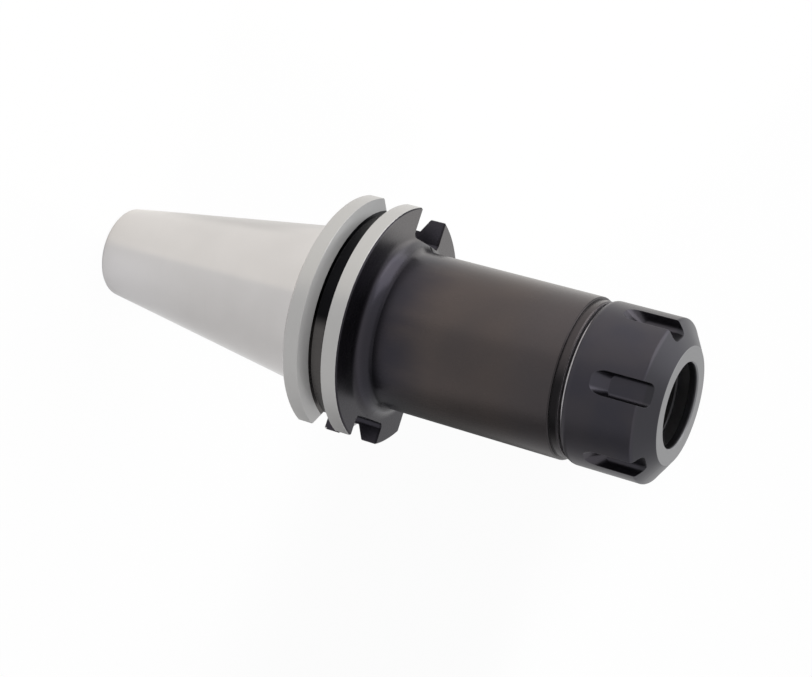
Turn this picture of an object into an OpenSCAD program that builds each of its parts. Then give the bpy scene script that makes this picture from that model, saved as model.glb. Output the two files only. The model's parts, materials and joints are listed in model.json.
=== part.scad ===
// Collet chuck holder with a 7/24 taper shank: a turned and ground body, its clamping nut
// and the nut's eccentric extraction ring.
// +Z runs along the axis towards the nut, and z = 0 is the taper's gauge plane.
// The deeper drive keyway faces -X, the shallower one +X.

/* [Taper shank] */
// Diameter of the taper in the gauge plane
gauge_d = 44.45; // [43.5:0.05:45]
// Length of the taper below the gauge plane
taper_len = 68.4; // [64:0.2:72]
// Growth of the taper's diameter over taper_run
taper_rise = 7; // [6.5:0.1:7.5]
// Length over which the diameter grows by taper_rise
taper_run = 24; // [23:0.5:25]
// Rounding of the edge at the small end
taper_end_round = 1.4; // [0.6:0.1:2]
// Width of the grinding relief between taper and flange
relief_w = 2; // [1:0.1:2.6]
// Depth of the grinding relief below the gauge diameter's surface
relief_depth = 0.6; // [0.3:0.1:1]

/* [Pull stud hole] */
// Nominal diameter of the pull stud's thread
stud_thread_d = 16; // [14:0.5:18]
// Pitch of the pull stud's thread
stud_pitch = 2; // [1.5:0.25:2.5]
// Depth of the full thread below the small end face
stud_thread_len = 32; // [28:0.5:36]
// Depth of the tapping drill below the small end face
stud_drill_len = 42.5; // [39:0.5:46]
// Diameter of the pilot bore that centres the pull stud
stud_pilot_d = 17; // [16.5:0.1:19]
// Depth of the pilot bore
stud_pilot_len = 8.2; // [5:0.1:11]
// Width of the lead-in chamfer at the pilot bore
stud_chamfer = 0.6; // [0.3:0.1:1]
// Point angle of the tapping drill
drill_point = 118; // [100:1:140]

/* [Flange] */
// Gap from the gauge plane to the flange's rear face
flange_gap = 3.2; // [2.6:0.1:4]
// Width of the flange along the axis
flange_w = 15.9; // [14.5:0.1:17]
// Diameter of the flange
flange_d = 63.55; // [62:0.05:66]
// Distance from the gauge plane to the middle of the gripper groove
groove_z = 11.1; // [10.5:0.1:11.7]
// Width of the gripper groove at the flange's diameter
groove_w = 7.07; // [6:0.01:8]
// Diameter at the bottom of the gripper groove
groove_root_d = 56.25; // [55:0.05:58]
// Angle between the two sides of the gripper groove
groove_angle = 60; // [50:1:64]
// Chamfer on the flange's outer edges
flange_chamfer = 0.4; // [0.2:0.1:0.8]

/* [Drive keyways] */
// Width of both keyways
key_w = 16.1; // [14:0.1:18]
// Distance from the axis to the floor of the deeper keyway
key_floor_deep = 22.8; // [22.6:0.1:24]
// Distance from the axis to the floor of the shallower keyway
key_floor_shallow = 25; // [24.2:0.1:26]
// Radius between a keyway's floor and its walls
key_corner_r = 1.4; // [0.6:0.1:2]
// Chamfer along a keyway's outer edges
key_chamfer = 0.3; // [0.2:0.1:0.8]
// Distance from the keyways' centre plane to the side wall of the orientation notch
notch_side = 18.5; // [17:0.1:20]
// Distance from the other centre plane to the floor of the orientation notch
notch_floor = 19; // [18.2:0.1:21]
// Radius in the corner of the orientation notch
notch_corner_r = 1.2; // [0.6:0.1:2]

/* [Body] */
// Diameter of the body in front of the flange
body_d = 42; // [40:0.5:44]
// Radius between the flange's front face and the body
body_fillet = 4; // [3:0.1:4.6]
// Distance from the gauge plane to the shoulder behind the nut
shoulder_z = 74; // [70:0.1:77]
// Length of the turned-down band behind the shoulder
band_w = 2.1; // [1:0.1:3]
// Depth of the band below the body's surface
band_depth = 0.7; // [0.3:0.1:1.2]
// Rounding at the body's edge where the band begins
band_round = 0.4; // [0.1:0.1:0.6]
// Chamfer at the shoulder's edge, at the end of the band
shoulder_chamfer = 0.3; // [0.1:0.1:0.9]
// Distance from the shoulder to the end of the threaded nose
nose_len = 13.8; // [12:0.1:15]
// Width of the thread's run-out groove at the shoulder
nose_relief_w = 2; // [1:0.1:2.6]
// Depth of that groove below the thread's root
nose_relief_depth = 0.3; // [0.1:0.1:0.6]
// Lead-in chamfer at the end of the nose
nose_chamfer = 0.4; // [0.2:0.1:1]
// Small blind centre mark in the fillet below the deeper keyway: its diameter
mark_d = 1.8; // [1:0.1:2.4]
// Depth of the centre mark
mark_depth = 0.8; // [0.4:0.1:1.2]
// Sideways distance of the centre mark from the keyway's middle
mark_offset = 1.9; // [1:0.1:3]

/* [Collet socket and bore] */
// Diameter of the collet socket at its mouth
socket_d = 26; // [25.5:0.1:26.5]
// Angle between the socket's wall and the axis
socket_angle = 8; // [7.8:0.1:8.2]
// Depth of the socket
socket_len = 34; // [31:0.5:37]
// Width of the relief groove at the socket's bottom
socket_relief_w = 2; // [1:0.1:3]
// Depth of that groove below the shank clearance bore
socket_relief_depth = 0.7; // [0.4:0.1:1.2]
// Diameter of the shank clearance bore behind the socket
shank_bore_d = 16.4; // [16.1:0.1:18]
// Depth of the shank clearance bore below the relief groove
shank_bore_len = 32; // [28:0.5:36]
// Nominal diameter of the thread for a stop screw
stop_thread_d = 16; // [14:0.5:16]
// Pitch of the stop screw's thread
stop_pitch = 1.5; // [1:0.25:2]
// Length of the stop screw's thread
stop_thread_len = 20; // [16:0.5:24]
// Length of the tapping drill beyond that thread
stop_runout = 4; // [2:0.5:6]
// Diameter of the coolant bore through to the pull stud's hole
coolant_d = 8; // [6:0.1:10]

/* [Nose thread] */
// Nominal diameter of the thread between nose and nut
nut_thread_d = 32; // [31.4:0.1:32.6]
// Pitch of that thread
nut_pitch = 1.5; // [1:0.25:2]
// Radial play between the crests of one thread and the roots of the other
thread_play = 0.05; // [0.02:0.01:0.1]

/* [Clamping nut] */
// Diameter of the nut
nut_d = 42; // [40:0.5:44]
// Gap between the shoulder and the nut's rear face when it is screwed home
nut_gap = 0.5; // [0.3:0.1:1]
// Length of the nut
nut_len = 23.1; // [22:0.1:25]
// Rounding of the nut's rear edge
nut_rear_round = 2; // [0.6:0.1:2.6]
// Depth of the counterbore at the nut's rear
nut_lead = 1.5; // [1:0.1:2]
// Depth of the counterbore and of the thread's run-out groove below the thread's root
nut_relief_depth = 0.25; // [0.1:0.05:0.5]
// Length of the conical front
nut_cone_len = 3.9; // [3:0.1:4.5]
// Diameter of the flat front face
nut_face_d = 30; // [28:0.5:32]
// Rounding between the cylinder and the conical front
nut_cone_round = 1; // [0.5:0.1:2]
// Diameter of the hole in the nut's front
nut_hole_d = 21.9; // [20:0.1:23]
// Chamfer at the edges of that hole
nut_hole_chamfer = 0.3; // [0.2:0.1:0.9]
// Length of the straight part of that hole
nut_lip_len = 2.2; // [1.6:0.1:2.6]
// Angle between the collet's face cone and the axis
nut_cone_angle = 30; // [28:0.5:32]
// Diameter of the face cone at its wide end
nut_seat_d = 26; // [25.4:0.1:26.6]

/* [Spanner slots] */
// Number of spanner slots round the nut
slot_count = 6; // [4:1:8]
// Width of a slot
slot_w = 6; // [4.5:0.1:6.5]
// Depth of a slot below the nut's surface
slot_depth = 3.3; // [2:0.1:3.5]
// Distance from the nut's rear face to the beginning of a slot
slot_start = 6.4; // [4.5:0.1:7]
// Angle of the ramp that leads from a slot's floor out to the nut's surface
slot_ramp_angle = 41; // [30:1:60]
// Radius along the edges of a slot's floor
slot_corner_r = 1.4; // [0.4:0.1:1.6]
// Radius along the ramp's edges as a share of the slot's width, so that the slot ends round
slot_end_share = 0.34; // [0.2:0.01:0.48]
// Turn of the first slot from +X when the nut is screwed home
slot_turn = 34.2; // [0:0.1:59.9]

/* [Extraction ring] */
// Thickness of the ring along the axis
ring_t = 2; // [1.6:0.1:2.2]
// Outer diameter of the ring
ring_d = 29; // [28.4:0.1:29.4]
// Diameter of the ring's hole
ring_hole_d = 25.2; // [24.8:0.1:25.6]
// Sideways offset of the ring's hole
ring_offset = 0.7; // [0.4:0.1:1]
// Gap in the ring at its thin side
ring_gap = 1.6; // [1:0.1:2.4]
// Chamfer at the ends of the ring's hole
ring_chamfer = 0.4; // [0.2:0.1:0.5]
// Play between the ring and its recess
ring_play = 0.05; // [0.03:0.01:0.08]
// Width of the lip that keeps the ring in its recess
ring_lip_w = 0.8; // [0.5:0.1:1]
// Height of that lip above the recess
ring_lip_h = 0.45; // [0.3:0.05:0.6]

/* [Hidden] */
$fn = 96;
// How far a cutting shape reaches past the metal
over = 1;

// The threads' ridges are left off: a threaded wall is a plain cylinder at the thread's root
// Height of the sharp triangle of a 60-degree thread per millimetre of pitch
thread_h = 0.866025;
// Radius of the tapping drill, which is the crest of an inner thread
function tap_drill_r(d, pitch) = d / 2 - 5 / 8 * thread_h * pitch;
// Radius at the root of an outer thread
function outer_root_r(d, pitch) = d / 2 - 17 / 24 * thread_h * pitch;
// Radius of the taper at height z
function taper_r(z) = gauge_d / 2 + z * taper_rise / taper_run / 2;

taper_angle = atan(taper_rise / taper_run / 2);
small_end_z = -taper_len;
small_end_r = taper_r(small_end_z);
flange_r = flange_d / 2;
flange_front_z = flange_gap + flange_w;
groove_depth = (flange_d - groove_root_d) / 2;
groove_root_w = groove_w - 2 * groove_depth * tan(groove_angle / 2);
body_r = body_d / 2;
nose_z = shoulder_z + nose_len;

stud_drill_r = tap_drill_r(stud_thread_d, stud_pitch);
stud_drill_z = small_end_z + stud_drill_len;
socket_r = socket_d / 2;
socket_bottom_z = nose_z - socket_len;
socket_bottom_r = socket_r - socket_len * tan(socket_angle);
socket_relief_r = shank_bore_d / 2 + socket_relief_depth;
shank_top_z = socket_bottom_z - socket_relief_w;
shank_bottom_z = shank_top_z - shank_bore_len;
stop_drill_r = tap_drill_r(stop_thread_d, stop_pitch);
stop_bottom_z = shank_bottom_z - stop_thread_len;
stop_drill_z = stop_bottom_z - stop_runout;

nose_r = outer_root_r(nut_thread_d, nut_pitch);
nose_relief_r = nose_r - nose_relief_depth;
nut_bore_r = nut_thread_d / 2 + thread_play;
nut_relief_r = nut_bore_r + nut_relief_depth;
nut_r = nut_d / 2;
nut_rear_z = shoulder_z + nut_gap;
nut_front_z = nut_rear_z + nut_len;
nut_hole_r = nut_hole_d / 2;
nut_cone_drop = nut_r - nut_face_d / 2;
nut_front_angle = atan(nut_cone_drop / nut_cone_len);
seat_front_z = nut_front_z - nut_lip_len;
seat_rear_z = seat_front_z - (nut_seat_d / 2 - nut_hole_r) / tan(nut_cone_angle);
recess_r = ring_d / 2 + ring_play;
recess_rear_z = seat_rear_z - ring_t - 2 * ring_play;
lip_rear_z = recess_rear_z - ring_lip_w;
lip_r = recess_r - ring_lip_h;
nut_relief_rear_z = nose_z - 1;

// The sliver between a corner with edges along angles a1 and a2 and its rounding of radius r:
// taken away it rounds an outer corner, and added it fills an inner one. It reaches past the
// corner, so that it leaves no thin fin along an edge that slopes
module corner(at, a1, a2, r) {
    half = (a2 - a1) / 2;
    reach = r / tan(half);
    bisector = [cos(a1 + half), sin(a1 + half)];
    centre = at + r / sin(half) * bisector;
    past = at - over * bisector;
    difference() {
        polygon([past, at + reach * [cos(a1), sin(a1)], centre, at + reach * [cos(a2), sin(a2)]]);
        translate(centre) circle(r);
    }
}

// A 45-degree chamfer's triangle at a corner, with its legs along x by sx and y by sy
module bevel(at, size, sx, sy) {
    polygon([at, at + [sx * size, 0], at + [0, sy * size]]);
}

// Half section of the shank's ground taper and the relief behind the flange
module taper_section() {
    relief_z = flange_gap - relief_w;
    difference() {
        polygon([
            [0, small_end_z],
            [small_end_r, small_end_z],
            [taper_r(relief_z), relief_z],
            [gauge_d / 2 - relief_depth, relief_z],
            [gauge_d / 2 - relief_depth, flange_gap + over],
            [0, flange_gap + over],
        ]);
        corner([small_end_r, small_end_z], 90 - taper_angle, 180, taper_end_round);
    }
}

// Half section of the flange with its gripper groove
module flange_section() {
    difference() {
        translate([0, flange_gap]) square([flange_r, flange_w]);
        polygon([
            [flange_r - groove_depth, groove_z - groove_root_w / 2],
            [flange_r, groove_z - groove_w / 2],
            [flange_r + over, groove_z - groove_w / 2],
            [flange_r + over, groove_z + groove_w / 2],
            [flange_r, groove_z + groove_w / 2],
            [flange_r - groove_depth, groove_z + groove_root_w / 2],
        ]);
        bevel([flange_r, flange_gap], flange_chamfer, -1, 1);
        bevel([flange_r, flange_front_z], flange_chamfer, -1, -1);
    }
}

// Half section of the body in front of the flange, with its band and its nose
module front_section() {
    difference() {
        translate([0, flange_front_z - over]) square([body_r, shoulder_z - flange_front_z + over]);
        translate([body_r - band_depth, shoulder_z - band_w]) square([band_depth + over, band_w + over]);
        corner([body_r, shoulder_z - band_w], 180, 270, band_round);
        bevel([body_r - band_depth, shoulder_z], shoulder_chamfer, -1, -1);
    }
    corner([body_r, flange_front_z], 0, 90, body_fillet);
    difference() {
        translate([0, shoulder_z - over]) square([nose_r, nose_len + over]);
        translate([nose_relief_r, shoulder_z]) square([nose_r, nose_relief_w]);
        bevel([nose_r, nose_z], nose_chamfer, -1, -1);
    }
}

// Everything that is bored along the axis, from the small end to the nose
module holder_bores() {
    point_len = stud_drill_r / tan(drill_point / 2);
    pilot_r = stud_pilot_d / 2;
    translate([0, 0, small_end_z - over]) cylinder(h = stud_drill_len + over, r = stud_drill_r);
    translate([0, 0, stud_drill_z]) cylinder(h = point_len, r1 = stud_drill_r, r2 = 0);
    translate([0, 0, small_end_z - over]) cylinder(h = stud_thread_len + over, r = stud_thread_d / 2);
    translate([0, 0, small_end_z - over]) cylinder(h = stud_pilot_len + over, r = pilot_r);
    translate([0, 0, small_end_z]) cylinder(h = stud_chamfer, r1 = pilot_r + stud_chamfer, r2 = pilot_r);
    translate([0, 0, stud_drill_z]) cylinder(h = stop_drill_z - stud_drill_z + over, r = coolant_d / 2);
    translate([0, 0, stop_drill_z]) cylinder(h = stop_runout + over, r = stop_drill_r);
    translate([0, 0, stop_bottom_z]) cylinder(h = stop_thread_len + over, r = stop_thread_d / 2);
    translate([0, 0, shank_bottom_z]) cylinder(h = shank_bore_len + over, r = shank_bore_d / 2);
    translate([0, 0, shank_top_z]) cylinder(h = socket_relief_w, r = socket_relief_r);
    translate([0, 0, socket_bottom_z]) cylinder(h = socket_len, r1 = socket_bottom_r, r2 = socket_r);
    translate([0, 0, nose_z]) cylinder(h = over, r = socket_r);
}

// Cutter for a keyway whose floor lies at the given distance from the axis on +X
module keyway(floor_x) {
    half_w = key_w / 2;
    mouth_x = sqrt(flange_r * flange_r - half_w * half_w);
    translate([0, 0, flange_gap - over]) linear_extrude(flange_w + body_fillet + over) {
        difference() {
            translate([floor_x, -half_w]) square([flange_r, key_w]);
            corner([floor_x, -half_w], 0, 90, key_corner_r);
            corner([floor_x, half_w], 270, 360, key_corner_r);
        }
        for (side = [-1, 1]) {
            polygon([
                [mouth_x - key_chamfer, side * (half_w - key_chamfer)],
                [mouth_x - key_chamfer, side * half_w],
                [mouth_x + over, side * (half_w + key_chamfer + over)],
                [mouth_x + over, side * (half_w - key_chamfer)],
            ]);
        }
    }
}

// Cutter for the orientation notch beside the shallower keyway
module orientation_notch() {
    translate([0, 0, flange_gap - over]) linear_extrude(flange_w + 2 * over) {
        difference() {
            translate([notch_floor, notch_side]) square(flange_r);
            corner([notch_floor, notch_side], 0, 90, notch_corner_r);
        }
    }
}

// Blind centre mark, drilled into the fillet just in front of the deeper keyway's floor
module centre_mark() {
    mark_x = -sqrt(key_floor_deep * key_floor_deep - mark_offset * mark_offset);
    surface_z = flange_front_z + body_fillet
        - sqrt(body_fillet * body_fillet - pow(body_r + body_fillet - key_floor_deep, 2));
    translate([mark_x + mark_d / 2, mark_offset, surface_z - mark_depth / 2])
        cylinder(h = body_fillet, d = mark_d);
}

module holder_body() {
    color([0.27, 0.26, 0.26]) difference() {
        rotate_extrude() {
            taper_section();
            flange_section();
            front_section();
        }
        holder_bores();
        rotate([0, 0, 180]) keyway(key_floor_deep);
        keyway(key_floor_shallow);
        orientation_notch();
        centre_mark();
    }
}

// Half section of the nut's metal
module nut_section() {
    difference() {
        polygon([
            [0, nut_rear_z],
            [nut_r, nut_rear_z],
            [nut_r, nut_front_z - nut_cone_len],
            [nut_r - nut_cone_drop, nut_front_z],
            [0, nut_front_z],
        ]);
        corner([nut_r, nut_rear_z], 90, 180, nut_rear_round);
        corner([nut_r, nut_front_z - nut_cone_len], 90 + nut_front_angle, 270, nut_cone_round);
        nut_bore_section();
    }
}

// Half section of the nut's bore: hole, face cone, ring recess, thread and lead-in
module nut_bore_section() {
    polygon([
        [0, nut_front_z + over],
        [nut_hole_r + nut_hole_chamfer + over, nut_front_z + over],
        [nut_hole_r, nut_front_z - nut_hole_chamfer],
        [nut_hole_r, seat_front_z],
        [nut_seat_d / 2, seat_rear_z],
        [recess_r, seat_rear_z],
        [recess_r, recess_rear_z],
        [lip_r, recess_rear_z],
        [lip_r, lip_rear_z],
        [nut_relief_r, lip_rear_z],
        [nut_relief_r, nut_relief_rear_z],
        [nut_bore_r, nut_relief_rear_z - (nut_relief_r - nut_bore_r)],
        [nut_bore_r, nut_rear_z + nut_lead],
        [nut_relief_r, nut_rear_z + nut_lead - (nut_relief_r - nut_bore_r)],
        [nut_relief_r, nut_rear_z - over],
        [0, nut_rear_z - over],
    ]);
}

// Section of a slot or its ramp from the floor outwards, with rounded floor edges
module slot_section(reach, edge_r) {
    difference() {
        translate([0, -slot_w / 2]) square([reach, slot_w]);
        corner([0, -slot_w / 2], 0, 90, edge_r);
        corner([0, slot_w / 2], 270, 360, edge_r);
    }
}

// Cutter for one spanner slot on +X: what lies outside both its floor and the ramp down to it
module spanner_slot() {
    floor_z = nut_rear_z + slot_start + slot_depth / tan(slot_ramp_angle);
    translate([nut_r - slot_depth, 0, floor_z]) intersection() {
        translate([0, 0, -nut_len]) linear_extrude(nut_len + nut_front_z - floor_z + over)
            slot_section(2 * slot_depth, slot_corner_r);
        rotate([0, -slot_ramp_angle, 0]) translate([0, 0, -nut_len]) linear_extrude(2 * nut_len)
            slot_section(nut_len, slot_end_share * slot_w);
    }
}

module clamping_nut() {
    color([0.25, 0.25, 0.27]) difference() {
        rotate_extrude() nut_section();
        for (i = [0 : slot_count - 1]) {
            rotate([0, 0, slot_turn + i * 360 / slot_count]) spanner_slot();
        }
    }
}

module extraction_ring() {
    hole_r = ring_hole_d / 2;
    color([0.5, 0.5, 0.52]) translate([0, 0, recess_rear_z + ring_play]) difference() {
        cylinder(h = ring_t, d = ring_d);
        translate([ring_offset, 0, 0]) {
            translate([0, 0, -over]) cylinder(h = ring_t + 2 * over, r = hole_r);
            cylinder(h = ring_chamfer, r1 = hole_r + ring_chamfer, r2 = hole_r);
            translate([0, 0, ring_t - ring_chamfer])
                cylinder(h = ring_chamfer, r1 = hole_r, r2 = hole_r + ring_chamfer);
        }
        translate([0, -ring_gap / 2, -over]) cube([ring_d, ring_gap, ring_t + 2 * over]);
    }
}

holder_body();
clamping_nut();
extraction_ring();
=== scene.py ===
import json
import math

import bmesh
import bpy
from mathutils import Matrix, Vector

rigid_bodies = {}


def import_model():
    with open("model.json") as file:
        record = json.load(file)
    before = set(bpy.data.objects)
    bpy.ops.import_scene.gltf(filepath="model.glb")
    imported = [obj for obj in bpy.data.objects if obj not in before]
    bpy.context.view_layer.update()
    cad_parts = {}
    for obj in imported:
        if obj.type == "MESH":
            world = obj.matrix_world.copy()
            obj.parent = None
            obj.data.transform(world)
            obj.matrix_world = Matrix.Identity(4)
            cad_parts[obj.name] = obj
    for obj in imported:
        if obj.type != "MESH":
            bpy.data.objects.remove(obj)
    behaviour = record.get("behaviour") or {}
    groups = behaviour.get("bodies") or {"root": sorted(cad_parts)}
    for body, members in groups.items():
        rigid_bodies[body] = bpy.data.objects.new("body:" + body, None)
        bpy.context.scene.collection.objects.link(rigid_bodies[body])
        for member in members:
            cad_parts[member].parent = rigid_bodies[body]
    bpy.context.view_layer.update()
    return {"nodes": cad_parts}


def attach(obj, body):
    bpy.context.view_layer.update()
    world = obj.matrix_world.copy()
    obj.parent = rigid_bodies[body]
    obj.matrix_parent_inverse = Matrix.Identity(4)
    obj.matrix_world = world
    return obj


for thing in list(bpy.data.objects):
    bpy.data.objects.remove(thing)

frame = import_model()

MM = 0.001

# Places on the holder in millimetres, the same as in the part's source. Z runs along the tool axis from
# the gauge plane towards the nut, and a name that ends in _R is a distance from that axis. The deeper
# keyway faces -X and the shallower one +X, and the photograph is taken from the side of -Y.
TAPER_END_Z = -68.4
TAPER_SLOPE = 7 / 24 / 2
GAUGE_R = 22.225
RELIEF_Z = 1.2
FLANGE_REAR_Z = 3.2
FLANGE_FRONT_Z = 19.1
FLANGE_R = 31.775
GROOVE_REAR_Z = 7.565
GROOVE_FRONT_Z = 14.635
GROOVE_ROOT_R = 28.125
BODY_R = 21.0
BAND_Z = 71.9
SHOULDER_Z = 74.0
STUD_PILOT_R = 8.5
SOCKET_BOTTOM_Z = 53.8
SOCKET_R = 13.0
NUT_REAR_Z = 74.5
NUT_CONE_Z = 93.7
NUT_FRONT_Z = 97.6
NUT_LIP = 2.2
NUT_HOLE_R = 10.95

# Where one finish gives way to another between those places.
GROOVE_GROUND_Z = 9.6
GROOVE_GROUND_R = 28.9
BORED_R = 8.95
SHOULDER_INNER_R = 13.5
NUT_INSIDE_R = 16.4
NUT_RIM_R = 19.3

# How far edges are eased and how deep turned and ground lines are, in millimetres.
EASED_EDGE = 0.18
LINE_DEPTH = 0.012
THREAD_LINE_DEPTH = 0.008

# A thread's height over its pitch when sharp, its flanks' angle, how far its ridge is sunk into the
# wall and how much narrower its crest is, in millimetres, and how it fades out at both ends.
THREAD_H = 0.866025
FLANK_ANGLE = math.radians(30)
RIDGE_SINK = 0.04
CREST_TRIM = 0.04
FADE_TURNS = 0.25
FADE_LEAST = 0.02
STEPS_PER_TURN = 72

# Colours as linear red, green and blue. In a pair the metal drifts from the first to the second.
GROUND_STEEL = ((0.625, 0.605, 0.598), (0.665, 0.645, 0.638))
GROUND_LINES = (0.53, 0.52, 0.51)
# Painted light: the taper is painted paler towards its small end, and palest there on its +X side, to
# lift the shade near the floor.
GROUND_PAINTED_LIGHT = (0.80, 0.79, 0.78)
GROUND_PAINTED_LIGHT_PLUS_X = (0.82, 0.805, 0.81)
LANDS_STEEL = (0.492, 0.486, 0.480)
# The groove's ground side runs from bare steel to a painted shade towards -X.
GROOVE_SIDE_STEEL_AND_SHADE = ((0.48, 0.475, 0.47), (0.25, 0.25, 0.25))
# The groove's root is black oxide, painted near black on the -X side as shade and lighter on the +X side
# as reflected light.
GROOVE_ROOT_PAINTED_SHADE_AND_LIGHT = ((0.006, 0.006, 0.007), (0.085, 0.080, 0.078))
BLUE_BLACK = ((0.040, 0.038, 0.047), (0.046, 0.042, 0.050))
BROWN_BLACK = ((0.076, 0.065, 0.064), (0.085, 0.071, 0.068))
PLUM_BLACK = ((0.070, 0.063, 0.066), (0.077, 0.067, 0.068))
# Painted shade on the +X side of the fillet at the flange's front.
FILLET_PAINTED_SHADE = (0.016, 0.016, 0.020)
# Painted shade in the recessed band before the nut, deepest on its +X side, and along its step edge.
BAND_PAINTED_SHADE = (0.030, 0.027, 0.029)
BAND_LOW_PAINTED_SHADE = (0.008, 0.008, 0.009)
BAND_EDGE_PAINTED_SHADE = (0.012, 0.011, 0.012)
# Painted highlight on the -X side of the flange's front face and the fillet beside it; the front face's
# pair runs from its dark film to that painted highlight.
FLANGE_PAINTED_HIGHLIGHT = (0.095, 0.092, 0.096)
FLANGE_FRONT_FILM_AND_HIGHLIGHT = ((0.026, 0.024, 0.029), (0.125, 0.118, 0.118))
# The shoulder's face, deep in the gap under the nut, is painted pale matt steel, which lifts the shade
# in that gap.
SHOULDER_STEEL_AND_LIGHT = (0.16, 0.15, 0.16)
BORED_STEEL = (0.20, 0.197, 0.195)
SOCKET_STEEL = (0.62, 0.61, 0.60)
WORN_EDGE = (0.16, 0.155, 0.15)
NUT_BLACK = ((0.050, 0.048, 0.059), (0.057, 0.053, 0.061))
NUT_CONE_FILM = (0.045, 0.044, 0.050)
NUT_FACE_STEEL = ((0.175, 0.175, 0.18), (0.215, 0.215, 0.22))
# Wear and a painted highlight along the nut's rear rim; the highlight is on its -Y side.
NUT_RIM_WEAR_AND_HIGHLIGHT = (0.62, 0.60, 0.62)
NUT_INSIDE_STEEL = (0.30, 0.30, 0.32)
NUT_MOUTH_FILM = (0.17, 0.17, 0.18)
NUT_REAR_STEEL = (0.30, 0.30, 0.31)
NUT_WORN_EDGE = (0.17, 0.17, 0.18)
RING_STEEL = ((0.050, 0.050, 0.053), (0.068, 0.067, 0.070))
RING_CLOUDS_FILM = (0.040, 0.038, 0.038)
THREAD_DARK = ((0.040, 0.038, 0.042), (0.055, 0.050, 0.050))
THREAD_TURNED = ((0.26, 0.255, 0.25), (0.32, 0.315, 0.31))
WHITE = (1.0, 1.0, 1.0)

# How white the floor is where it is looked at, how much of that metal shows, how bright the room is
# all round, how strong the lamps are, and half the floor's width in metres.
SEEN_WHITE = 0.97
MIRRORED_WHITE = 0.12
ROOM_LEVEL = 0.72
KEY_WATTS = 4.6
FILL_WATTS = 1.6
FLOOR_HALF = 6.0


class Reading:
    """A value, colour or vector that varies over a surface, with the usual operators."""

    def __init__(self, recipe, socket):
        self.recipe = recipe
        self.socket = socket

    def math(self, operation, *others):
        return self.recipe.node("ShaderNodeMath", {"operation": operation}, [self, *others])

    def __add__(self, other):
        return self.math("ADD", other)

    def __radd__(self, other):
        return self.math("ADD", other)

    def __sub__(self, other):
        return self.math("SUBTRACT", other)

    def __rsub__(self, other):
        return self.recipe.node("ShaderNodeMath", {"operation": "SUBTRACT"}, [other, self])

    def __mul__(self, other):
        return self.math("MULTIPLY", other)

    def __rmul__(self, other):
        return self.math("MULTIPLY", other)

    def __truediv__(self, other):
        return self.math("DIVIDE", other)

    def __neg__(self):
        return self.math("MULTIPLY", -1.0)

    def __pow__(self, other):
        return self.math("POWER", other)

    def __gt__(self, other):
        return self.math("GREATER_THAN", other)

    def __lt__(self, other):
        return self.math("LESS_THAN", other)

    def at_least(self, other):
        return self.math("MAXIMUM", other)

    def step(self, low, high):
        """0 below low, 1 above high, and a smooth rise between them."""
        settings = {"interpolation_type": "SMOOTHSTEP"}
        values = {"Value": self, "From Min": low, "From Max": high, "To Min": 0.0, "To Max": 1.0}
        return self.recipe.node("ShaderNodeMapRange", settings, values)

    def between(self, low, high, soft):
        """1 from low to high, and 0 outside, with edges as soft as given."""
        return self.step(low - soft, low + soft) * (1 - self.step(high - soft, high + soft))


class Recipe:
    """A node tree on its way, with the readings that it is made from."""

    def __init__(self, tree):
        self.tree = tree
        self.tree.nodes.clear()

    def feed(self, socket, value):
        """Puts a reading or a plain value on a socket."""
        if isinstance(value, Reading):
            self.tree.links.new(value.socket, socket)
        elif isinstance(value, tuple) and len(value) == 3 and len(socket.default_value) == 4:
            socket.default_value = (*value, 1.0)
        else:
            socket.default_value = value

    def node(self, kind, settings=None, values=None, out=0):
        """Adds a node of a kind, with its settings first and then its sockets' values or links."""
        added = self.tree.nodes.new(kind)
        for name, value in (settings or {}).items():
            setattr(added, name, value)
        pairs = values.items() if isinstance(values, dict) else enumerate(values or [])
        for socket, value in pairs:
            self.feed(added.inputs[socket], value)
        return Reading(self, added.outputs[out])

    def end(self, kind, surface):
        """Ends the tree with its output node."""
        output = self.tree.nodes.new(kind)
        self.tree.links.new(surface.socket, output.inputs["Surface"])

    def coordinates(self, which):
        """One of the piece's own coordinates as three readings."""
        spot = self.node("ShaderNodeTexCoord", out=which)
        outputs = self.node("ShaderNodeSeparateXYZ", values=[spot]).socket.node.outputs
        return [Reading(self, outputs[axis]) for axis in ("X", "Y", "Z")]

    def place(self):
        """Where a point lies on the piece, in millimetres: x, y and z."""
        return [part * (1 / MM) for part in self.coordinates("Object")]

    def facing(self):
        """Which way the surface faces on the piece: x, y and z."""
        return self.coordinates("Normal")

    def joined(self, x, y, z):
        """Three readings or plain values as one vector or colour."""
        return self.node("ShaderNodeCombineXYZ", values=[x, y, z])

    def noise(self, spot, scale, detail=2.0, roughness=0.5):
        """Cloudy noise from 0 to 1 with a mean of about a half."""
        values = {"Vector": spot, "Scale": scale, "Detail": detail, "Roughness": roughness}
        return self.node("ShaderNodeTexNoise", {"noise_dimensions": "3D"}, values)

    def seen(self, mirrored_share):
        """1 for the camera's rays, and the given share for what metal and glass show."""
        straight = self.node("ShaderNodeLightPath", out="Is Camera Ray")
        outputs = straight.socket.node.outputs
        glossy = Reading(self, outputs["Is Glossy Ray"])
        through = Reading(self, outputs["Is Transmission Ray"])
        return straight.at_least(glossy.at_least(through) * mirrored_share)


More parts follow.
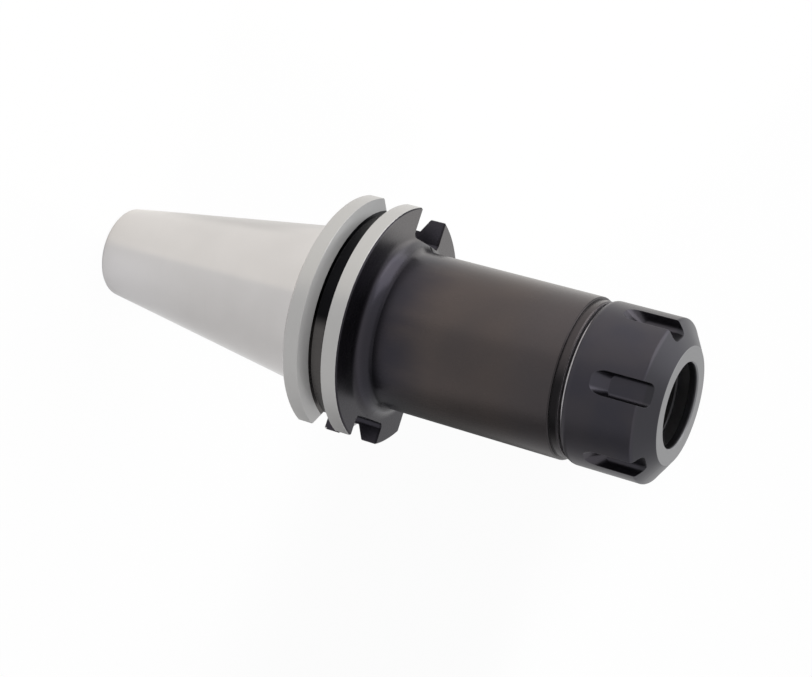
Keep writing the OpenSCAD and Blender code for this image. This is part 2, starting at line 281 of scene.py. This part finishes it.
class Finish(Recipe):
    """A metal's finish: a material with one shader."""

    def __init__(self, name):
        self.material = bpy.data.materials.new(name)
        self.material.use_nodes = True
        super().__init__(self.material.node_tree)
        self.shader = self.tree.nodes.new("ShaderNodeBsdfPrincipled")
        self.end("ShaderNodeOutputMaterial", Reading(self, self.shader.outputs["BSDF"]))

    def blend(self, amount, first, second):
        """first where amount is 0 and second where it is 1, for colours."""
        values = {"Factor": amount, 6: first, 7: second}
        return self.node("ShaderNodeMix", {"data_type": "RGBA"}, values, out=2)

    def blend_ways(self, amount, first, second):
        """first where amount is 0 and second where it is 1, for directions."""
        values = {"Factor": amount, 4: first, 5: second}
        return self.node("ShaderNodeMix", {"data_type": "VECTOR"}, values, out=1)

    def pick(self, amount, first, second):
        """first where amount is 0 and second where it is 1, for plain values."""
        return amount * second + (1 - amount) * first

    def bump(self, height, depth, under=None):
        """The surface's direction with a relief of a depth in millimetres on the direction under it."""
        values = {"Height": height, "Distance": depth * MM}
        if under is not None:
            values["Normal"] = under
        return self.node("ShaderNodeBump", values=values)

    def eased_edges(self):
        """The surface's direction with its sharp edges eased."""
        return self.node("ShaderNodeBevel", {"samples": 6}, {"Radius": EASED_EDGE * MM})

    def straight(self):
        """The surface's own direction."""
        return self.node("ShaderNodeNewGeometry", out="Normal")

    def edges(self, eased):
        """1 along edges and 0 on open surfaces."""
        values = [eased, self.straight()]
        along = self.node("ShaderNodeVectorMath", {"operation": "DOT_PRODUCT"}, values, out="Value")
        return (1 - along).step(0.004, 0.12)

    def tool_marks(self, radius, height, x, y, fine, seed):
        """Fine lines that run round the axis, as turning and grinding leave them."""
        sharp = self.noise(self.joined(radius * fine + seed, height * fine, 0.0), 1.0, 3.0, 0.7)
        drift = self.noise(self.joined(x * 0.05 + seed, y * 0.05, height * 0.4), 1.0)
        return sharp * 0.8 + drift * 0.2

    def done(self, colour, roughness, metallic, normal):
        """Puts the readings on the shader and gives the material."""
        shown = {"Base Color": colour, "Roughness": roughness, "Metallic": metallic, "Normal": normal}
        for socket, value in shown.items():
            self.feed(self.shader.inputs[socket], value)
        return self.material


def ground_metal(steel, x, z, clouds, marks):
    """Ground bright, with light painted in towards the small end and most on the +X side, to lift the
    shade near the floor.
    """
    metal = steel.blend(clouds.step(0.3, 0.7), *GROUND_STEEL)
    metal = steel.blend(marks.step(0.2, 0.8) * 0.3, metal, GROUND_LINES)
    # Painted light near the small end, strongest on the +X side.
    metal = steel.blend((1 - z.step(-68.0, -10.0)) * 0.15, metal, GROUND_PAINTED_LIGHT)
    return steel.blend((1 - z.step(-70.0, -28.0)) * x.step(-4.0, 8.0) * 0.8, metal, GROUND_PAINTED_LIGHT_PLUS_X)


def body_film_and_painted_shade(steel, x, z, clouds, smears):
    """Black oxide: blue beside the flange, brown along the body and plum towards the band, with painted
    shade on the fillet's +X side, in the band and along its edge.
    """
    drift = clouds.step(0.35, 0.65)
    brown = (z + smears * 12).step(30.0, 46.0)
    film = steel.blend(brown, steel.blend(drift, *BLUE_BLACK), steel.blend(drift, *BROWN_BLACK))
    film = steel.blend(z.step(54.0, 66.0), film, steel.blend(drift, *PLUM_BLACK))
    # Painted shade on the fillet's +X side.
    fillet = z.between(20.0, 24.0, 1.2) * x.step(-12.0, 6.0)
    film = steel.blend(fillet * 0.55, film, FILLET_PAINTED_SHADE)
    # Painted shade: the band is darkened, most on its +X side, and a darker line is painted along its
    # step edge.
    band = z.step(BAND_Z - 0.1, BAND_Z + 0.1)
    shade_side = x.between(2.0, 17.5, 3.0)
    film = steel.blend(band * 0.4, film, BAND_PAINTED_SHADE)
    film = steel.blend(band * shade_side * 0.8, film, BAND_LOW_PAINTED_SHADE)
    return steel.blend(z.between(BAND_Z - 0.4, BAND_Z + 0.1, 0.05) * 0.6, film, BAND_EDGE_PAINTED_SHADE)


def flange_film_and_painted_light(steel, film, x, z, radius, groove_floor):
    """The body's film with a painted highlight on the -X side of the flange's front and the fillet
    beside it, and the groove's root with painted shade and light.
    """
    front = z.between(FLANGE_FRONT_Z - 0.6, FLANGE_FRONT_Z + 0.6, 0.3) * (radius > BODY_R + 1)
    # Painted highlight on the -X side of the flange's front and the fillet beside it.
    highlight_side = (-x).step(14.0, 24.0)
    painted_highlight = highlight_side * (z.step(FLANGE_FRONT_Z - 0.1, FLANGE_FRONT_Z) * (1 - z.step(21.0, 25.0)))
    film = steel.blend(painted_highlight, film, FLANGE_PAINTED_HIGHLIGHT)
    film = steel.blend(front, film, steel.blend(painted_highlight, *FLANGE_FRONT_FILM_AND_HIGHLIGHT))
    # The groove's root: painted shade on the -X side, painted reflected light on the +X side.
    return steel.blend(groove_floor, film, steel.blend(x.step(4.5, 8.5), *GROOVE_ROOT_PAINTED_SHADE_AND_LIGHT))


def holder_finish():
    """Black oxide, ground bright on the taper, the lands, the groove's rear side and in the socket."""
    steel = Finish("holder_steel")
    x, y, z = steel.place()
    face_x, face_y, face_z = steel.facing()
    radius = (x * x + y * y) ** 0.5
    outward = (x * face_x + y * face_y) / radius
    taper_r = z * TAPER_SLOPE + GAUGE_R

    taper = (radius > taper_r - 0.4) * (z < RELIEF_Z + 0.1)
    small_end = (z < TAPER_END_Z + 1.6) * (radius > STUD_PILOT_R + 0.1)
    lands = radius > FLANGE_R - 0.06
    rear_edge = (radius > FLANGE_R - 0.5) * (z < FLANGE_REAR_Z + 0.6)
    rear_face = (z < FLANGE_REAR_Z + 0.03) * (radius > GAUGE_R - 0.1) * (z > FLANGE_REAR_Z - 0.03)
    groove_side = (radius > GROOVE_GROUND_R) * z.between(GROOVE_REAR_Z, GROOVE_GROUND_Z, 0.02)
    groove_side = groove_side * (face_z > 0.3)
    groove_floor = (radius < GROOVE_GROUND_R) * (radius > GROOVE_ROOT_R - 0.08)
    groove_floor = groove_floor * z.between(GROOVE_REAR_Z, GROOVE_FRONT_Z, 0.02) * (outward > 0.2)
    socket = (radius < SOCKET_R + 0.05) * (z > SOCKET_BOTTOM_Z - 0.1) * (face_z < 0.5)
    bored = (radius < BORED_R) * (z < SOCKET_BOTTOM_Z + 0.1)
    shoulder = z.between(SHOULDER_Z - 0.04, SHOULDER_Z + 2.0, 0.02) * (radius > SHOULDER_INNER_R)
    ground = taper.at_least(small_end).at_least(lands).at_least(rear_edge).at_least(rear_face)
    ground = ground.at_least(groove_side)

    spot = steel.joined(x, y, z)
    clouds = steel.noise(spot, 0.055)
    smears = steel.noise(steel.joined(x * 0.16, y * 0.16, z * 0.05), 1.0, 3.0)
    grain = steel.noise(spot, 9.0)
    marks = steel.tool_marks(radius, z, x, y, 7.0, 3.1)

    film = body_film_and_painted_shade(steel, x, z, clouds, smears)
    film = flange_film_and_painted_light(steel, film, x, z, radius, groove_floor)
    # Painted light on the shoulder's face in the gap under the nut.
    colour = steel.blend(shoulder, film, SHOULDER_STEEL_AND_LIGHT)
    colour = steel.blend(bored, colour, BORED_STEEL)
    colour = steel.blend(socket, colour, SOCKET_STEEL)
    colour = steel.blend(ground, colour, ground_metal(steel, x, z, clouds, marks))
    colour = steel.blend(lands, colour, LANDS_STEEL)
    # The groove's ground side is painted darker towards -X, a painted shade.
    colour = steel.blend(groove_side, colour, steel.blend((-x).step(2.0, 24.0), *GROOVE_SIDE_STEEL_AND_SHADE))
    eased = steel.eased_edges()
    worn = steel.edges(eased) * (1 - ground) * 0.08
    colour = steel.blend(worn, colour, WORN_EDGE)

    rough_bright = 0.12 + marks * 0.06 + clouds * 0.03 + lands.at_least(groove_side) * 0.14
    rough_dark = 0.21 + smears * 0.08 + grain * 0.04
    rough = steel.pick(ground, rough_dark, rough_bright)
    matt = (groove_side * 0.8).at_least(shoulder * 0.85)
    metal = steel.pick(matt, 0.99 - 0.05 * smears, 0.1)
    # Edges within 3 mm of the small end aren't eased.
    under = steel.blend_ways(z > TAPER_END_Z + 3, steel.straight(), eased)
    relief = steel.bump(marks * steel.pick(ground, 0.3, 0.6) + grain * 0.1, LINE_DEPTH, under)
    return steel.done(colour, rough, metal, relief)


def nut_finish():
    """Satin black oxide with a blue tint, worn at its rear edge with a painted highlight there on the -Y
    side, and a front face turned bare.
    """
    steel = Finish("nut_steel")
    x, y, z = steel.place()
    radius = (x * x + y * y) ** 0.5
    spot = steel.joined(x, y, z)
    clouds = steel.noise(spot, 0.07)
    grain = steel.noise(spot, 10.0)
    marks = steel.tool_marks(radius, z, x, y, 6.0, 7.7)

    face = z > NUT_FRONT_Z - 0.05
    mouth = (radius < NUT_HOLE_R + 0.4) * z.step(NUT_FRONT_Z - 1.0, NUT_FRONT_Z - 0.1) * (1 - face)
    rear = z < NUT_REAR_Z + 0.03
    inside = (radius < NUT_INSIDE_R) * (z < NUT_FRONT_Z - NUT_LIP - 0.05)
    # The rear rim: some wear all round, and a painted highlight on the -Y side.
    rim_wear_and_highlight = z.between(NUT_REAR_Z + 0.15, NUT_REAR_Z + 0.8, 0.08) * (radius > NUT_RIM_R)
    rim_wear_and_highlight = rim_wear_and_highlight * ((-y).step(14.5, 18.5) * 0.7 + 0.2 + clouds.step(0.35, 0.6) * 0.1)

    colour = steel.blend(clouds.step(0.35, 0.65), *NUT_BLACK)
    colour = steel.blend(z.step(NUT_CONE_Z - 0.3, NUT_CONE_Z + 0.5), colour, NUT_CONE_FILM)
    colour = steel.blend(rim_wear_and_highlight, colour, NUT_RIM_WEAR_AND_HIGHLIGHT)
    colour = steel.blend(face, colour, steel.blend(marks.step(0.25, 0.75), *NUT_FACE_STEEL))
    colour = steel.blend(inside, colour, NUT_INSIDE_STEEL)
    colour = steel.blend(mouth, colour, NUT_MOUTH_FILM)
    colour = steel.blend(rear, colour, NUT_REAR_STEEL)
    eased = steel.eased_edges()
    colour = steel.blend(steel.edges(eased) * 0.08, colour, NUT_WORN_EDGE)

    rough = steel.pick(face, 0.27 + clouds * 0.06 + grain * 0.05, 0.26 + marks * 0.12)
    metal = steel.pick(rim_wear_and_highlight.at_least(mouth * 0.8), 0.99 - 0.05 * clouds, 0.0)
    relief = steel.bump(marks * steel.pick(face, 0.25, 1.2) + grain * 0.2, LINE_DEPTH, eased)
    return steel.done(colour, rough, metal, relief)


def ring_finish():
    """Turned steel, coloured near black."""
    steel = Finish("ring_steel")
    x, y, z = steel.place()
    radius = (x * x + y * y) ** 0.5
    clouds = steel.noise(steel.joined(x, y, z), 0.2)
    marks = steel.tool_marks(radius, z, x, y, 8.0, 1.3)
    colour = steel.blend(marks.step(0.25, 0.75), *RING_STEEL)
    colour = steel.blend(clouds.step(0.4, 0.7) * 0.4, colour, RING_CLOUDS_FILM)
    relief = steel.bump(marks, LINE_DEPTH)
    return steel.done(colour, 0.30 + marks * 0.15, 0.97 + clouds * 0.03, relief)


def thread_finish(name, first, second):
    """A thread's flanks: turned lines along the ridge under the piece's own film."""
    steel = Finish(name)
    x, y, z = steel.place()
    radius = (x * x + y * y) ** 0.5
    clouds = steel.noise(steel.joined(x, y, z), 0.3)
    marks = steel.noise(steel.joined(radius * 20, 0.0, z * 0.3), 1.0)
    colour = steel.blend(clouds.step(0.3, 0.7), first, second)
    relief = steel.bump(marks, THREAD_LINE_DEPTH)
    return steel.done(colour, 0.34 + marks * 0.12, 0.96 + clouds * 0.03, relief)


def outer_root(diameter, pitch):
    """An outer thread's radius at its root."""
    return diameter / 2 - 17 / 24 * THREAD_H * pitch


def inner_crest(diameter, pitch):
    """An inner thread's radius at its crest, where the tapping drill leaves it."""
    return diameter / 2 - 5 / 8 * THREAD_H * pitch


def thread_ridge(name, root_r, crest_r, pitch, low_z, high_z):
    """A right-handed thread's ridge on a root cylinder, fading out at both ends; in millimetres."""
    slope = math.tan(FLANK_ANGLE)
    turns = (high_z - low_z) / pitch - 1
    count = int(round(turns * STEPS_PER_TURN))
    outward = 1 if crest_r > root_r else -1
    foot_r = root_r - RIDGE_SINK * outward
    root_w = pitch / 8 - CREST_TRIM + 2 * abs(crest_r - root_r) * slope
    mesh = bmesh.new()

    def corner(radius, angle, z):
        return mesh.verts.new((radius * math.cos(angle) * MM, radius * math.sin(angle) * MM, z * MM))

    rows = []
    for i in range(count + 1):
        turn = i / STEPS_PER_TURN
        left = turns - turn
        fade = min(1.0, turn / FADE_TURNS + FADE_LEAST, left / FADE_TURNS + FADE_LEAST)
        tip_r = root_r + (crest_r - root_r) * fade
        mid_z = low_z + pitch * (turn + 0.5)
        half_root = root_w / 2
        half_tip = half_root - abs(tip_r - root_r) * slope
        section = [
            (foot_r, mid_z - half_root),
            (foot_r, mid_z + half_root),
            (tip_r, mid_z + half_tip),
            (tip_r, mid_z - half_tip),
        ]
        rows.append([corner(radius, 2 * math.pi * turn, z) for radius, z in section])
    for first, second in zip(rows, rows[1:]):
        for k in range(4):
            n = (k + 1) % 4
            mesh.faces.new((first[k], first[n], second[n], second[k]))
    mesh.faces.new(rows[0])
    mesh.faces.new(rows[-1])
    bmesh.ops.recalc_face_normals(mesh, faces=mesh.faces)
    data = bpy.data.meshes.new(name)
    mesh.to_mesh(data)
    mesh.free()
    ridge = bpy.data.objects.new(name, data)
    bpy.context.scene.collection.objects.link(ridge)
    return ridge


def add_thread(name, body, finish, sizes):
    """A thread's ridge with the given finish, riding on the body of the piece that it is cut in."""
    ridge = thread_ridge(name, *sizes)
    ridge.data.materials.append(finish)
    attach(ridge, body)


def dress():
    """Puts the finishes on the frame's own pieces, and adds the ridges of the four threads."""
    finishes = {
        "holder_body": holder_finish(),
        "clamping_nut": nut_finish(),
        "extraction_ring": ring_finish(),
    }
    for name, finish in finishes.items():
        slots = frame["nodes"][name].data.materials
        for i in range(len(slots)):
            slots[i] = finish

    # Each thread's sizes: its radius at the root and at the crest, its pitch, and where it runs along Z.
    dark = thread_finish("thread_dark", *THREAD_DARK)
    turned = thread_finish("thread_turned", *THREAD_TURNED)
    nose = (outer_root(32, 1.5), 16.0, 1.5, 76.0, 87.4)
    nut = (16.05, inner_crest(32, 1.5) + 0.05, 1.5, 76.75, 86.8)
    stop_screw = (8.0, inner_crest(16, 1.5), 1.5, -0.2, 19.8)
    pull_stud = (8.0, inner_crest(16, 2), 2.0, -60.2, -36.4)
    add_thread("nose_thread", "holder", dark, nose)
    add_thread("nut_thread", "nut", dark, nut)
    add_thread("stop_screw_thread", "holder", turned, stop_screw)
    add_thread("pull_stud_thread", "holder", turned, pull_stud)


def floor_finish():
    """White paper that glows white where it is looked at, with painted shade that the metal mirrors:
    greyer to the right and in front, and painted shadows beyond, below and behind.
    """
    material = bpy.data.materials.new("paper")
    material.use_nodes = True
    paper = Recipe(material.node_tree)
    x, y, z = paper.place()
    # These painted shades and shadows show mainly in the metal, which mirrors the floor. Right is +X,
    # and front is -Y.
    across = x + y * 0.09
    aside = (x + y * y * 0.0007) / ((y * y) ** 0.5 + 30)
    right = aside.step(-0.06, 0.05)
    front = 1 - y.step(-260.0, -80.0)
    # Painted shadows on the floor beyond, below and behind the holder, which the metal mirrors as shade.
    beyond = (x * 0.75 + y * 0.8).between(190.0, 390.0, 75.0) * across.step(-25.0, 5.0)
    below = across.between(-2.0, 190.0, 12.0) * y.between(150.0, 390.0, 40.0)
    behind = across.between(-75.0, 0.0, 12.0) * y.between(10.0, 150.0, 12.0)
    grain = paper.noise(paper.joined(x, y, z), 0.02)
    tone = (0.97 - right * (0.165 + front * 0.12)) * (1 - beyond * 0.84) * (1 - below * 0.85)
    tone = tone * (1 - behind * 0.2) * (0.98 + grain * 0.04)
    warmth = 1 - right
    colour = paper.joined(tone, tone * (1 - warmth * 0.015), tone * (1 - warmth * 0.045))
    matte = {"Base Color": colour, "Roughness": 1.0, "Specular IOR Level": 0.0}
    matte = paper.node("ShaderNodeBsdfPrincipled", values=matte)
    white = paper.node("ShaderNodeEmission", values={"Color": WHITE, "Strength": 1.0})
    shown = paper.seen(MIRRORED_WHITE) * SEEN_WHITE
    mixed = paper.node("ShaderNodeMixShader", values=[shown, matte, white])
    paper.end("ShaderNodeOutputMaterial", mixed)
    return material


def lamp(name, spot, target, side, watts):
    """A square lamp at a spot, facing a target, with its side in metres."""
    light = bpy.data.lights.new(name, "AREA")
    light.shape = "SQUARE"
    light.size = side
    light.energy = watts
    stand = bpy.data.objects.new(name, light)
    stand.location = spot
    stand.rotation_euler = (Vector(target) - Vector(spot)).to_track_quat("-Z", "Y").to_euler()
    bpy.context.scene.collection.objects.link(stand)


def studio():
    """A white floor with painted shade that the metal mirrors, a plain white surrounding, one large soft
    lamp and a weak fill.
    """
    half = FLOOR_HALF
    data = bpy.data.meshes.new("floor")
    corners = [(-half, -half, 0.0), (half, -half, 0.0), (half, half, 0.0), (-half, half, 0.0)]
    data.from_pydata(corners, [], [(0, 1, 2, 3)])
    floor = bpy.data.objects.new("floor", data)
    floor.location = (0.0, 0.0, TAPER_END_Z * MM)
    bpy.context.scene.collection.objects.link(floor)
    data.materials.append(floor_finish())

    world = bpy.data.worlds.new("surrounding")
    bpy.context.scene.world = world
    world.use_nodes = True
    room = Recipe(world.node_tree)
    soft = room.node("ShaderNodeBackground", values=[WHITE, ROOM_LEVEL])
    white = room.node("ShaderNodeBackground", values=[WHITE, 1.0])
    mixed = room.node("ShaderNodeMixShader", values=[room.seen(1.0), soft, white])
    room.end("ShaderNodeOutputWorld", mixed)

    lamp("key_lamp", (-0.70, -0.20, 0.45), (0.0, 0.0, 0.02), 1.0, KEY_WATTS)
    lamp("fill_lamp", (-0.50, 0.35, 0.70), (-0.1, 0.1, -0.07), 0.8, FILL_WATTS)


def camera():
    """The photograph's own viewpoint: where its eye is, and which ways its picture runs."""
    eye = Vector((37.98726, -445.06333, 232.27470)) * MM
    right = Vector((-0.30241894, 0.38744884, 0.87087667))
    up = Vector((-0.95043013, -0.1918637, -0.24468529))
    ahead = Vector((-0.07228659, 0.9017049, -0.42626627))
    view = bpy.data.cameras.new("camera")
    view.sensor_width = 36.0
    view.lens = 84.38
    seat = bpy.data.objects.new("camera", view)
    turn = Matrix((right, up, -ahead)).transposed().to_4x4()
    seat.matrix_world = Matrix.Translation(eye) @ turn
    bpy.context.scene.collection.objects.link(seat)
    bpy.context.scene.camera = seat


dress()
studio()
camera()

bpy.context.scene.view_settings.view_transform = "Standard"
